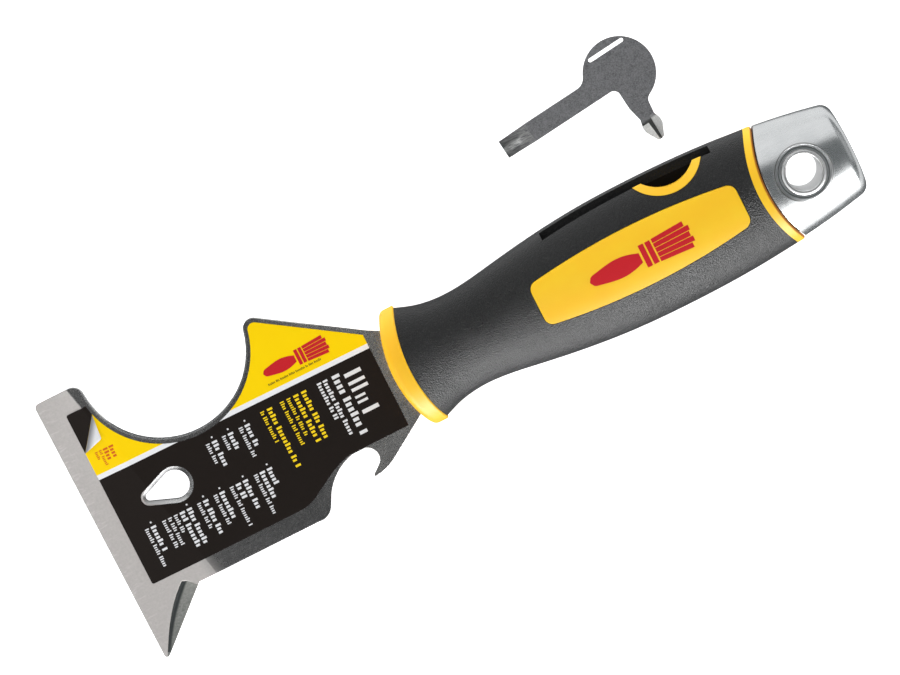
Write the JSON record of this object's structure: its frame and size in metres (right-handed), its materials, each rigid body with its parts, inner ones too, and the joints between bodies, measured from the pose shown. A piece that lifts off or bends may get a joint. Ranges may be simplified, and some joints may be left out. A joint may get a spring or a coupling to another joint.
{
  "type": "painters multi tool",
  "caption": "Stainless scraper blade with roller notch, pull hole and opener hook, soft-grip handle, steel hammer cap with hang hole, and a driver bit that slides into the grip.",
  "frame": {"origin": "centre of the hang hole, on the mid plane of the blade", "axes": "+X along the tool from the blade to the hammer cap, +Y to the side with the roller notch and the bit slot, +Z out of the labelled face along the hang hole"},
  "size_m": [0.2254, 0.0953, 0.0278],
  "materials": {
    "blade_steel": "mill-finish stainless with a ground scraping edge",
    "label_film": "printed film, satin",
    "yellow_plastic": "satin moulded",
    "badge_yellow": "satin moulded",
    "core_plastic": "moulded",
    "soft_black": "fine grain, satin",
    "cap_steel": "bright satin",
    "spacer_plastic": "moulded",
    "eyelet_steel": "bright rolled",
    "rivet_steel": "plain",
    "bit_steel": "dark blasted steel with machined tips"
  },
  "bodies": {
    "tool": {"blade": "blade_steel", "blade_label": "label_film", "front_collar": "yellow_plastic", "core_front": "core_plastic", "core_back": "core_plastic", "tang_rivets": "rivet_steel", "soft_grip": "soft_black", "front_badge": "badge_yellow", "back_badge": "badge_yellow", "scallop_rim": "yellow_plastic", "rear_ring": "yellow_plastic", "end_cap": "cap_steel", "cap_spacer_front": "spacer_plastic", "cap_spacer_back": "spacer_plastic", "hang_eyelet": "eyelet_steel", "eyelet_washer": "eyelet_steel"},
    "bit": {"driver_bit": "bit_steel"}
  },
  "joints": [
    {"name": "bit_slide", "type": "slide", "parent": "tool", "child": "bit", "axis": [0, 1, 0], "range_m": [-0.037, 0]}
  ]
}
